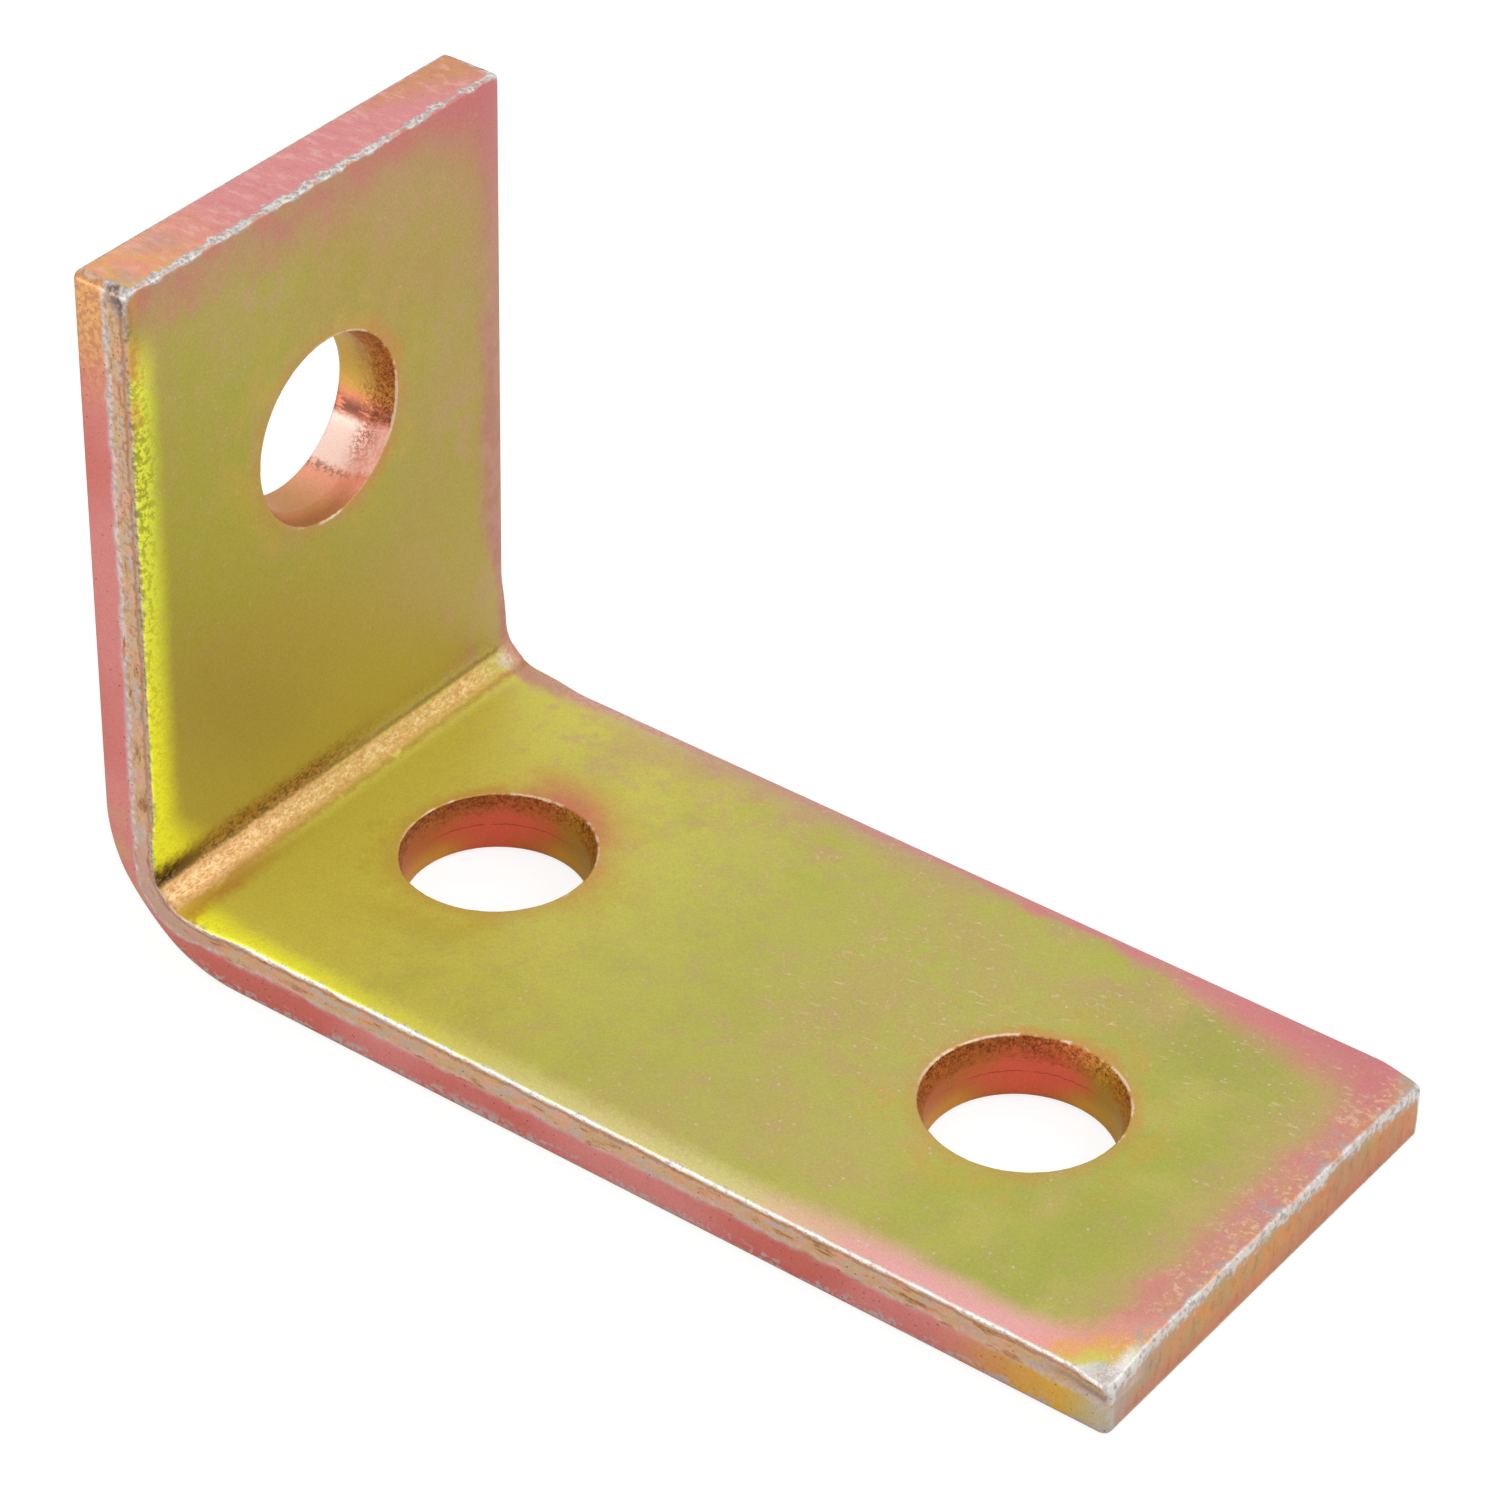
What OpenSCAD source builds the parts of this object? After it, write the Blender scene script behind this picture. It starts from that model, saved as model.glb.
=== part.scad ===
/* [Flat bar] */
// Width of the bar across the bracket
bar_w = 40.2; // [30:0.1:60]
// Thickness of the bar
bar_t = 5.2; // [4.2:0.1:8]

/* [Legs] */
// Outside length of the long leg, from the back of the short leg to its free end
long_leg = 88.7; // [87.2:0.1:140]
// Outside length of the short leg, from the underside of the long leg to its free end
short_leg = 56.8; // [50:0.1:120]
// Radius of the corners at the free ends, seen square to each leg
end_corner_r = 0.7; // [0.4:0.1:3]
// Chamfer across the edges of the free ends
end_break = 0.3; // [0.1:0.05:0.6]
// How far the corners of the inner face are pressed down at the free end of the long leg
dip_d = 1.1; // [0.6:0.1:1.8]
// Reach of a pressed corner, from its tip towards the middle of the leg
dip_reach = 5; // [3:0.25:7]

/* [Bend] */
// Inside radius of the bend
bend_in_r = 3; // [2:0.25:5]
// Outside radius of the bend, where the bar is stretched and thinned
bend_out_r = 12; // [9.5:0.5:13]
// How far the squeezed metal swells out of each side, beside the inside radius
swell_h = 0.4; // [0.2:0.05:0.9]
// Reach of the swelling over the side, from the centre of the inside radius
swell_reach = 5.2; // [5:0.1:6.5]
// How far the stretched metal is drawn in at each side, at the middle of the outside radius
draw_in = 0.2; // [0.1:0.05:0.5]
// Reach of the drawn-in hollow, from the corner where the two outer faces would meet
draw_reach = 6.2; // [5.8:0.1:7]

/* [Sheared sides] */
// Width of the band along each side where the inner face rolls over towards the shear
roll_w = 2.6; // [1.5:0.1:4]
// Depth of the rolled band at the side
roll_d = 0.35; // [0.2:0.05:0.8]
// How much flatter the rolled band is than a full round
roll_ease = 1.3; // [1.1:0.05:1.6]
// Chamfer along the outer edges of both sides
side_break = 0.3; // [0.1:0.05:0.6]

/* [Punched holes] */
// Diameter of the straight part of each hole
hole_d = 14; // [10:0.25:16]
// How much the broken-out part widens on each side, up to the inner face
flare = 0.5; // [0.1:0.05:0.8]
// Depth of the broken-out part under the inner face
breakout = 1.7; // [1:0.1:2.5]
// Chamfer at the outer face, where the punch went in
hole_break = 0.3; // [0.1:0.05:0.6]
// Distance from each free end to the middle of its nearest hole
hole_edge = 20.7; // [16:0.1:22]
// Distance between the two holes of the long leg
hole_pitch = 47.6; // [40:0.2:49]

/* [Hidden] */
$fn = 96;
sphere_fn = 180;

// How far a cutting shape stands past the metal that it cuts
over = 1.5;

// Centres of the inside and outside radius, measured along both outer faces
in_c = bar_t + bend_in_r;
out_c = bend_out_r;

// Middle of the outside radius, measured from the corner of the outer faces
out_mid = (sqrt(2) - 1) * bend_out_r;

// Ball that forms each swelling, and the height of its centre above the middle of the bar
swell_r = (pow(swell_reach, 2) - pow(bend_in_r, 2)) / (2 * swell_h);
swell_y = bar_w / 2 - sqrt(pow(swell_r, 2) - pow(swell_reach, 2));

// Ball that forms each drawn-in hollow
draw_r = (pow(draw_reach, 2) - pow(out_mid, 2)) / (2 * draw_in);
draw_y = bar_w / 2 + sqrt(pow(draw_r, 2) - pow(draw_reach, 2));

// Round of the rolled band: it runs from roll_w on the face to roll_d on the side, and its
// centre lies roll_cx under the face and roll_cy from the side
roll_chord = sqrt(pow(roll_w, 2) + pow(roll_d, 2));
roll_r = roll_ease * pow(roll_chord, 2) / (2 * roll_d);
roll_rise = sqrt(pow(roll_r, 2) - pow(roll_chord / 2, 2)) / roll_chord;
roll_cx = roll_d / 2 + roll_w * roll_rise;
roll_cy = roll_w / 2 + roll_d * roll_rise;

// Round of a pressed corner, found in the same way along the diagonal of the corner
dip_chord = sqrt(pow(dip_reach, 2) + pow(dip_d, 2));
dip_r = roll_ease * pow(dip_chord, 2) / (2 * dip_d);
dip_rise = sqrt(pow(dip_r, 2) - pow(dip_chord / 2, 2)) / dip_chord;
dip_cx = dip_d / 2 + dip_reach * dip_rise;
dip_cy = dip_reach / 2 + dip_d * dip_rise;

// One leg in side view, lying along X with its free end chamfered
module leg_profile(length) {
    polygon([
        [0, 0],
        [length - end_break, 0],
        [length, end_break],
        [length, bar_t - end_break],
        [length - end_break, bar_t],
        [0, bar_t]
    ]);
}

// The square corner left outside a quarter round
module corner_waste(radius) {
    difference() {
        translate([-over, -over]) square(radius + over);
        translate([radius, radius]) circle(r = radius);
    }
}

// The whole bracket in side view
module angle_profile() {
    difference() {
        union() {
            leg_profile(long_leg);
            mirror([1, -1]) leg_profile(short_leg);
            translate([bar_t, bar_t]) difference() {
                square(bend_in_r);
                translate([bend_in_r, bend_in_r]) circle(r = bend_in_r);
            }
        }
        corner_waste(bend_out_r);
    }
}

module folded_bar(width) {
    rotate([90, 0, 0]) linear_extrude(height = width, center = true) angle_profile();
}

// Metal squeezed out of both sides beside the inside of the bend
module swellings() {
    intersection() {
        folded_bar(bar_w + 4 * swell_h);
        intersection_for (side = [-1, 1])
            translate([in_c, side * swell_y, in_c]) sphere(r = swell_r, $fn = sphere_fn);
    }
}

// Hollows where the outside of the bend is drawn in
module draw_hollows() {
    for (side = [-1, 1])
        translate([0, side * draw_y, 0]) sphere(r = draw_r, $fn = sphere_fn);
}

// Waste of the rolled bands in cross-section: X is depth under the inner face, Y is across
module roll_section() {
    for (side = [0, 1])
        mirror([0, side]) difference() {
            translate([-over, bar_w / 2 - roll_cy])
                square([over + roll_d + swell_h, roll_cy + over]);
            translate([roll_cx, bar_w / 2 - roll_cy]) circle(r = roll_r);
        }
}

// Waste of the outer chamfers in cross-section: X is depth under the outer face, Y is across
module break_section() {
    for (side = [0, 1])
        mirror([0, side]) polygon([
            [-over, bar_w / 2 - side_break - over],
            [-over, bar_w / 2 + over],
            [side_break + over, bar_w / 2 + over]
        ]);
}

// Sweeps a section through the quarter turn of a bend, about the line through [centre, centre]
module around_bend(centre) {
    translate([centre, 0, centre]) rotate([90, 0, 0]) rotate([0, 0, 180])
        rotate_extrude(angle = 90) children();
}

module inner_trim() {
    translate([in_c, 0, bar_t]) rotate([0, 90, 0])
        linear_extrude(height = long_leg + over - in_c) roll_section();
    translate([bar_t, 0, in_c]) mirror([1, 0, 0])
        linear_extrude(height = short_leg + over - in_c) roll_section();
    around_bend(in_c) translate([bend_in_r, 0]) roll_section();
}

module outer_trim() {
    translate([long_leg + over, 0, 0]) rotate([0, -90, 0])
        linear_extrude(height = long_leg + over - out_c) break_section();
    translate([0, 0, out_c])
        linear_extrude(height = short_leg + over - out_c) break_section();
    around_bend(out_c) translate([bend_out_r, 0]) mirror([1, 0]) break_section();
}

// Rounds the two corners of a leg that lies along X with its free end at the given length
module end_corners(length) {
    for (side = [0, 1])
        mirror([0, side, 0]) translate([length, bar_w / 2, -over]) rotate([0, 0, 180])
            linear_extrude(height = bar_t + 2 * over) corner_waste(end_corner_r);
}

// Waste over the two pressed corners of the long leg, each taken across its diagonal
module pressed_corners() {
    for (side = [-1, 1])
        translate([long_leg, side * bar_w / 2, bar_t]) rotate([0, 0, side * 45]) rotate([90, 0, 0])
            linear_extrude(height = 4 * dip_reach, center = true) difference() {
                translate([-dip_cy, -dip_d - over]) square([dip_cy + over, dip_d + 2 * over]);
                translate([-dip_cy, -dip_cx]) circle(r = dip_r);
            }
}

// One punched hole through a leg that lies on its outer face
module punched_hole() {
    hole_r = hole_d / 2;
    translate([0, 0, -over]) cylinder(r = hole_r, h = bar_t + 2 * over);
    translate([0, 0, bar_t - breakout])
        cylinder(r1 = hole_r, r2 = hole_r + flare * (breakout + over) / breakout, h = breakout + over);
    translate([0, 0, -over])
        cylinder(r1 = hole_r + hole_break + over, r2 = hole_r, h = hole_break + over);
}

// Turns what is made for a leg along X, lying on its outer face, onto the upright short leg
module on_short_leg() {
    rotate([0, -90, 0]) mirror([0, 0, 1]) children();
}

module angle_bracket() {
    color("darkkhaki") translate([-long_leg / 2, 0, 0]) difference() {
        union() {
            folded_bar(bar_w);
            swellings();
        }
        draw_hollows();
        inner_trim();
        outer_trim();
        pressed_corners();
        end_corners(long_leg);
        on_short_leg() end_corners(short_leg);
        for (x = [long_leg - hole_edge, long_leg - hole_edge - hole_pitch])
            translate([x, 0, 0]) punched_hole();
        on_short_leg() translate([short_leg - hole_edge, 0, 0]) punched_hole();
    }
}

angle_bracket();
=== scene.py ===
import math
import bpy
from types import SimpleNamespace
import numpy as np
from mathutils import Matrix, Vector, noise


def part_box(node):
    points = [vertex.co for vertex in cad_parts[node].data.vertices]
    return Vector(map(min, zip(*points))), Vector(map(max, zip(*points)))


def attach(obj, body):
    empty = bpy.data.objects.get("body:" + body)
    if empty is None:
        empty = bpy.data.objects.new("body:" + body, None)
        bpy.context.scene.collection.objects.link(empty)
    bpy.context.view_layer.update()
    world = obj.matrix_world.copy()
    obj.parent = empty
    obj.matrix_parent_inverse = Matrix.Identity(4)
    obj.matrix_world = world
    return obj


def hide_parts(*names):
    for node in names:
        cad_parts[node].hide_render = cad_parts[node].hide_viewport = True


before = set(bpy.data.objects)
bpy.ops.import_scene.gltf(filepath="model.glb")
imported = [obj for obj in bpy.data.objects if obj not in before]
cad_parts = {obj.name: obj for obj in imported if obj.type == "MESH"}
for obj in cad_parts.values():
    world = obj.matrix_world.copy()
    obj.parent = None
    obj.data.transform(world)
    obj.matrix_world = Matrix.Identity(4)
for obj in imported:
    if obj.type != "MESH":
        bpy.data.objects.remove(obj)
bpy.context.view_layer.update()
mm = 0.001
low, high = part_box("angle_bracket")
print("frame loaded")


# one socket; sums and products written on it add Math nodes
class Wire:
    def __init__(self, graph, socket):
        self.graph = graph
        self.socket = socket

    def math(self, operation, *values):
        return self.graph.node("ShaderNodeMath", {"operation": operation}, values)

    def __add__(self, other):
        return self.math("ADD", self, other)

    def __radd__(self, other):
        return self.math("ADD", other, self)

    def __sub__(self, other):
        return self.math("SUBTRACT", self, other)

    def __rsub__(self, other):
        return self.math("SUBTRACT", other, self)

    def __mul__(self, other):
        return self.math("MULTIPLY", self, other)

    def __rmul__(self, other):
        return self.math("MULTIPLY", other, self)

    def __truediv__(self, other):
        return self.math("DIVIDE", self, other)

    def __neg__(self):
        return self.math("MULTIPLY", self, -1.0)

    def __pow__(self, power):
        return self.math("POWER", self, power)

    def __abs__(self):
        return self.math("ABSOLUTE", self)

    def atLeast(self, other):
        return self.math("MAXIMUM", self, other)

    def atMost(self, other):
        return self.math("MINIMUM", self, other)

    def root(self):
        return self.math("SQRT", self)

    def sine(self):
        return self.math("SINE", self)

    def cosine(self):
        return self.math("COSINE", self)

    def sign(self):
        return self.math("SIGN", self)

    def ramp(self, start, end, low, high):
        values = {"Value": self, "From Min": start, "From Max": end, "To Min": low, "To Max": high}
        return self.graph.node("ShaderNodeMapRange", {"interpolation_type": "SMOOTHSTEP"}, values)

    # 0 below the start, the full value above the end, smooth between
    def rise(self, start, end, full=1.0):
        return self.ramp(start, end, 0.0, full)

    def fall(self, start, end, full=1.0):
        return self.ramp(start, end, full, 0.0)

    # the full value at the centre, 0 further off than the reach
    def near(self, centre, reach, full=1.0):
        return abs(self - centre).fall(0.0, reach, full)


# a node tree that is filled by calls
class Graph:
    def __init__(self, tree):
        self.tree = tree

    def node(self, kind, settings=None, values=None, output=0):
        made = self.tree.nodes.new(kind)
        for name, value in (settings or {}).items():
            setattr(made, name, value)
        pairs = values.items() if isinstance(values, dict) else enumerate(values or ())
        for name, value in pairs:
            if isinstance(value, Wire):
                self.tree.links.new(value.socket, made.inputs[name])
            else:
                made.inputs[name].default_value = value
        return Wire(self, made.outputs[output]) if len(made.outputs) else None

    def parts(self, vector):
        split = self.node("ShaderNodeSeparateXYZ", {}, [vector]).socket.node
        return [Wire(self, end) for end in split.outputs]

    def vector(self, x, y, z):
        return self.node("ShaderNodeCombineXYZ", {}, [x, y, z])

    def scaled(self, vector, x, y, z):
        return self.node("ShaderNodeVectorMath", {"operation": "MULTIPLY"}, [vector, (x, y, z)])

    def noise(self, vector, scale, detail=2.0, roughness=0.5, distortion=0.0):
        values = {"Vector": vector, "Scale": scale, "Detail": detail, "Roughness": roughness}
        values["Distortion"] = distortion
        return self.node("ShaderNodeTexNoise", {}, values)

    def cells(self, vector, scale, feature="F1"):
        return self.node("ShaderNodeTexVoronoi", {"feature": feature}, {"Vector": vector, "Scale": scale})

    # each colour is a wire, three values or a name in the zinc dictionary
    def mix(self, amount, first, second, blend="MIX"):
        mixer = self.node("ShaderNodeMix", {"data_type": "RGBA", "blend_type": blend}).socket.node
        for index, value in ((0, amount), (6, first), (7, second)):
            if isinstance(value, Wire):
                self.tree.links.new(value.socket, mixer.inputs[index])
            elif index == 0:
                mixer.inputs[index].default_value = value
            else:
                colour = tint(*zinc[value]) if isinstance(value, str) else value
                mixer.inputs[index].default_value = (*colour, 1.0)
        return Wire(self, mixer.outputs[2])


def makeCamera(photo):
    data = bpy.data.cameras.new("photoCamera")
    data.lens = photo["lens"]
    data.sensor_width = photo["sensor"]
    data.clip_start = 0.01
    data.clip_end = 20
    camera = bpy.data.objects.new("photoCamera", data)
    camera.location = photo["place"]
    sight = photo["aim"] - photo["place"]
    turn = sight.to_track_quat("-Z", "Y").to_matrix().to_4x4()
    roll = Matrix.Rotation(math.radians(photo["roll"]), 4, "Z")
    camera.rotation_euler = (turn @ roll).to_euler()
    bpy.context.scene.collection.objects.link(camera)
    bpy.context.scene.camera = camera


makeCamera({
    "lens": 127.96,
    "sensor": 36.0,
    "place": Vector((177.165, -245.642, 244.058)) * mm,
    "aim": Vector((-0.869, 0.0, 24.684)) * mm,
    "roll": 1.442
})
print("camera placed")

bar = {
    "longLeg": high.x - low.x,
    "shortLeg": high.z - low.z,
    "width": 40.2 * mm,
    "thickness": 5.2 * mm,
    "cornerRadius": 0.7 * mm,
    "endRound": 0.3 * mm,
    "edgeRound": 0.3 * mm,
    "rollWidth": 2.6 * mm,
    "rollDepth": 0.35 * mm,
    "rollPower": 1.8,
    "dipDepth": 1.1 * mm,
    "dipReach": 5.0 * mm,
    "jagged": 0.09 * mm,
    "cell": 0.6 * mm,
    "fineCell": 0.3 * mm
}
bend = {
    "inRadius": 3.0 * mm,
    "outRadius": 12.0 * mm,
    "length": 15.5 * mm,
    "swell": 0.45 * mm,
    "swellReach": 6.0 * mm,
    "drawIn": 0.2 * mm,
    "drawReach": 7.0 * mm,
    "flareWidth": 2.0 * mm,
    "flareReach": 7.0 * mm,
    "stripAt": 52.7 * mm,
    "stripHalf": 1.25 * mm,
    "stripRaise": 0.1 * mm,
    "stripRough": 0.12 * mm,
    "grooveAt": 50.9 * mm,
    "grooveDepth": 0.16 * mm
}
holes = {
    "radius": 7.0 * mm,
    "flare": 0.5 * mm,
    "breakout": 1.7 * mm,
    "rim": 0.15 * mm,
    "entry": 0.3 * mm,
    "edge": 20.7 * mm,
    "pitch": 47.6 * mm,
    "patchCells": 15,
    "rough": 0.07 * mm,
    "tight": 0.7 * mm,
    "tightTowards": math.radians(155)
}

# places along the flat bar, measured from the free end of the short leg
bendStart = bar["shortLeg"] - bend["outRadius"]
bendEnd = bendStart + bend["length"]
barLength = bendEnd + bar["longLeg"] - bend["outRadius"]
holeAt = [holes["edge"], barLength - holes["edge"] - holes["pitch"], barLength - holes["edge"]]
halfWidth = bar["width"] / 2
patch = holes["patchCells"] * bar["cell"]


# evenly spaced values from start to end, with the end left out
def steps(start, end, cell):
    count = max(1, round((end - start) / cell))
    return list(np.linspace(start, end, count, endpoint=False))


def stationList():
    tip = 1.5 * mm
    ends = [tip * (1 - math.cos(math.pi / 2 * k / 14)) for k in range(14)]
    places = ends + steps(tip, holeAt[0] - patch, bar["cell"])
    places += steps(holeAt[0] - patch, holeAt[0] + patch, bar["cell"])
    places += steps(holeAt[0] + patch, bendStart - 2 * mm, bar["cell"])
    places += steps(bendStart - 2 * mm, holeAt[1] - patch, bar["fineCell"])
    places += steps(holeAt[1] - patch, holeAt[1] + patch, bar["cell"])
    places += steps(holeAt[1] + patch, holeAt[2] - patch, bar["cell"])
    places += steps(holeAt[2] - patch, holeAt[2] + patch, bar["cell"])
    places += steps(holeAt[2] + patch, barLength - tip, bar["cell"])
    places += [barLength - tip]
    places += [barLength - back for back in reversed(ends)]
    return places


# how far the inner face lies under its plane: rolled sides, pressed corners, and the marks of the bend
def innerDepth(inward, along, across):
    flare = math.exp(-((along - bend["stripAt"]) / bend["flareReach"]) ** 2)
    width = bar["rollWidth"] + bend["flareWidth"] * flare
    depth = bar["rollDepth"] * max(0.0, 1 - inward / width) ** bar["rollPower"]
    diagonal = (inward + barLength - along) / math.sqrt(2)
    depth = max(depth, bar["dipDepth"] * max(0.0, 1 - diagonal / bar["dipReach"]) ** bar["rollPower"])
    offset = abs(along - bend["stripAt"]) / (bend["stripHalf"] * (1 - 0.2 * across / halfWidth))
    if offset < 1.0:
        spot = Vector((along / mm * 1.4, across / mm * 1.1, 0.0))
        grain = noise.noise(spot) + 0.5 * noise.noise(spot * 2.1)
        raised = 1 - offset ** 4
        depth -= raised * (bend["stripRaise"] + bend["stripRough"] * grain)
    groove = math.exp(-((along - bend["grooveAt"]) / (0.55 * mm)) ** 2)
    fade = 0.12 + 0.88 * min(1.0, max(0.0, 0.5 - across / (14 * mm)))
    return depth + bend["grooveDepth"] * groove * fade


def cornerRow(radius, count):
    angles = [math.pi / 4 * k / count for k in range(1, count + 1)]
    return [(radius * (1 - math.sin(a)), radius * (1 - math.cos(a))) for a in angles]


# places across half of the bar: (distance in from the side, depth of the rounded edge)
def halfColumns():
    flat = steps(0.0, patch, bar["cell"]) + steps(patch, halfWidth - 2.4 * mm, bar["cell"])
    flat += steps(halfWidth - 2.4 * mm, halfWidth - bar["edgeRound"], bar["fineCell"])
    flat.append(halfWidth - bar["edgeRound"])
    return [(halfWidth - y, 0.0) for y in flat] + cornerRow(bar["edgeRound"], 3)


columns = halfColumns()
sideRows = 20


# how far a rounded end stands back from the free end
def endInset(toEnd, radius):
    if toEnd >= radius:
        return 0.0
    return radius - math.sqrt(radius ** 2 - (radius - toEnd) ** 2)


# one cross-section: outer face, side, inner face and other side, each point with its marks
# (past the inner edge of the side, of the end and of the hole, negative beyond the edge)
def ringPoints(along):
    thick = bar["thickness"]
    toEnd = min(along, barLength - along)
    inset = endInset(toEnd, bar["endRound"])
    narrow = endInset(toEnd, bar["cornerRadius"])
    faces = []
    for top in (False, True):
        row = []
        for sign in (-1, 1):
            half = []
            for inward, lift in columns:
                y = halfWidth - inward
                y -= narrow * (y / halfWidth) ** 6
                depth = lift + inset
                n = thick - innerDepth(halfWidth - y, along, sign * y) - depth if top else depth
                mark = inward if top else -thick - inward
                half.append(((along, sign * y, n), mark))
            row.append(half)
        faces.append([*reversed(row[0][1:]), *row[1]])
    bottom, upper = faces
    sides = []
    for corner in (0, -1):
        (_, y, under), (_, _, over) = bottom[corner][0], upper[corner][0]
        line = []
        for k in range(1, sideRows):
            share = k / sideRows
            spot = Vector((along / mm * 1.1, share * 4, corner * 9))
            bulge = math.sin(math.pi * share) ** 0.25
            rough = noise.noise(spot) * bar["jagged"] * (1 if 0.5 < share < 0.97 else 0.3)
            out = halfWidth - narrow - abs(y) + rough
            line.append(((along, y + math.copysign(out * bulge, y), under + (over - under) * share), share))
        sides.append([(point, -(1 - share) * (thick - bar["rollDepth"])) for point, share in line])
    return bottom + sides[1] + list(reversed(upper)) + list(reversed(sides[0]))


def buildBlank():
    stations = stationList()
    points = []
    marks = []
    faces = []

    def add(point, mark):
        points.append(point)
        marks.append(mark)
        return len(points) - 1

    def fromHole(along, across):
        nearest = min(math.hypot(along - place, across) for place in holeAt)
        return nearest - holes["radius"] - holes["flare"] - holes["rim"]

    rings = []
    for along in stations:
        toEnd = min(along, barLength - along)
        ring = ringPoints(along)
        rings.append([add(point, (side, toEnd, fromHole(along, point[1]))) for point, side in ring])
    columnCount = len(columns) * 2 - 1
    sideCount = sideRows - 1
    ringCount = len(rings[0])
    middle = (columnCount - 1) // 2
    topStart = columnCount + sideCount
    cells = holes["patchCells"]

    def topSlot(column):
        return topStart + columnCount - 1 - column

    def station(place):
        return int(np.argmin([abs(s - place) for s in stations]))

    cut = [(station(place - patch), station(place + patch)) for place in holeAt]

    def inPatch(i, slot):
        if not any(first <= i < last for first, last in cut):
            return False
        if slot < columnCount - 1:
            return middle - cells <= slot < middle + cells
        if topStart <= slot < topStart + columnCount - 1:
            column = columnCount - 1 - (slot - topStart)
            return middle - cells < column <= middle + cells
        return False

    for i in range(len(stations) - 1):
        for slot in range(ringCount):
            if inPatch(i, slot):
                continue
            after = (slot + 1) % ringCount
            faces.append((rings[i][slot], rings[i][after], rings[i + 1][after], rings[i + 1][slot]))

    # closes a free end with rows of points between its outer and inner edges
    def closeEnd(row, outward):
        rows = [[row[c] for c in range(columnCount)]]
        for r in range(sideCount):
            share = (r + 1) / sideRows
            made = [row[ringCount - 1 - r]]
            for c in range(1, columnCount - 1):
                under = np.array(points[row[c]])
                over = np.array(points[row[topSlot(c)]])
                point = under + (over - under) * share
                mark = (halfWidth - abs(point[1]), -(1 - share) * bar["thickness"], 0.05)
                made.append(add(tuple(point), mark))
            made.append(row[columnCount + r])
            rows.append(made)
        rows.append([row[topSlot(c)] for c in range(columnCount)])
        for under, above in zip(rows[:-1], rows[1:]):
            for c in range(columnCount - 1):
                quad = (under[c], under[c + 1], above[c + 1], above[c])
                faces.append(quad if outward else tuple(reversed(quad)))

    closeEnd(rings[0], False)
    closeEnd(rings[-1], True)

    # how much narrower the mouth of the hole next to the bend is in one direction
    def tight(number, angle):
        return holes["tight"] * max(0.0, math.cos(angle - holes["tightTowards"])) if number == 1 else 0.0

    # a ring round a hole: its radius, its depth under the inner face, its mark, its roughness
    def ringAround(place, angles, radius, depth, mark, rough, number):
        made = []
        for angle in angles:
            spot = Vector((math.cos(angle) * 14, math.sin(angle) * 14, depth / mm * 1.6 + number * 31))
            swing = noise.noise(spot * 0.9) * 0.7 + noise.noise(spot * 2.3) * 0.6
            narrow = tight(number, angle) * max(0.0, 1 - depth / holes["breakout"])
            reach = radius - narrow + holes["rough"] * rough * swing
            point = (place + reach * math.cos(angle), reach * math.sin(angle), bar["thickness"] - depth)
            made.append(add(point, (halfWidth - abs(point[1]), 9 * mm, mark)))
        return made

    # rings between the square patch and the hole on one face
    def spread(place, square, angles, onTop, number):
        mouth = holes["radius"] + (holes["flare"] + holes["rim"] if onTop else holes["entry"])
        level = bar["thickness"] if onTop else 0.0
        loops = []
        for share in (0.72, 0.48, 0.3, 0.16, 0.06):
            made = []
            for vertex, angle in zip(square, angles):
                rim = mouth - (tight(number, angle) if onTop else 0.0)
                x = (place + rim * math.cos(angle)) * (1 - share) + points[vertex][0] * share
                y = rim * math.sin(angle) * (1 - share) + points[vertex][1] * share
                past = math.hypot(x - place, y) - rim
                side = halfWidth - abs(y) if onTop else -bar["thickness"] - halfWidth + abs(y)
                made.append(add((x, y, level), (side, 9 * mm, past if onTop else -bar["thickness"] - past)))
            loops.append(made)
        return loops

    for number, (place, (first, last)) in enumerate(zip(holeAt, cut)):
        route = [(i, middle - cells) for i in range(first, last)]
        route += [(last, c) for c in range(middle - cells, middle + cells)]
        route += [(i, middle + cells) for i in range(last, first, -1)]
        route += [(first, c) for c in range(middle + cells, middle - cells, -1)]
        topRing = [rings[i][topSlot(c)] for i, c in route]
        bottomRing = [rings[i][c] for i, c in route]
        angles = [math.atan2(points[v][1], points[v][0] - place) for v in bottomRing]
        loops = [topRing] + spread(place, topRing, angles, True, number)
        for radius, depth, rough in wallRows():
            loops.append(ringAround(place, angles, radius, depth, -depth, rough, number))
        loops += list(reversed(spread(place, bottomRing, angles, False, number))) + [bottomRing]
        for above, under in zip(loops[:-1], loops[1:]):
            for k in range(len(route)):
                after = (k + 1) % len(route)
                faces.append((above[k], above[after], under[after], under[k]))
    return points, marks, faces


# the hole's wall from the inner face down: (radius, depth under the inner face, roughness)
def wallRows():
    straight = holes["radius"]
    mouth = straight + holes["flare"]
    rim = holes["rim"]
    entry = holes["entry"]
    rows = []
    for k in range(4):
        a = math.pi / 2 * k / 3
        rows.append((mouth + rim * (1 - math.sin(a)), rim * (1 - math.cos(a)), 0.5 if k else 0.2))
    count = 10
    for k in range(1, count + 1):
        share = k / count
        depth = rim + (holes["breakout"] - rim) * share
        rows.append((mouth - holes["flare"] * share, depth, 1.0 if k < count else 0.3))
    last = bar["thickness"] - entry
    for depth in steps(holes["breakout"] + 0.15 * mm, last, 0.35 * mm):
        rows.append((straight, depth, 0.0))
    for k in range(4):
        a = math.pi / 2 * k / 3
        rows.append((straight + entry * (1 - math.cos(a)), last + entry * math.sin(a), 0.0))
    return rows


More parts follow.
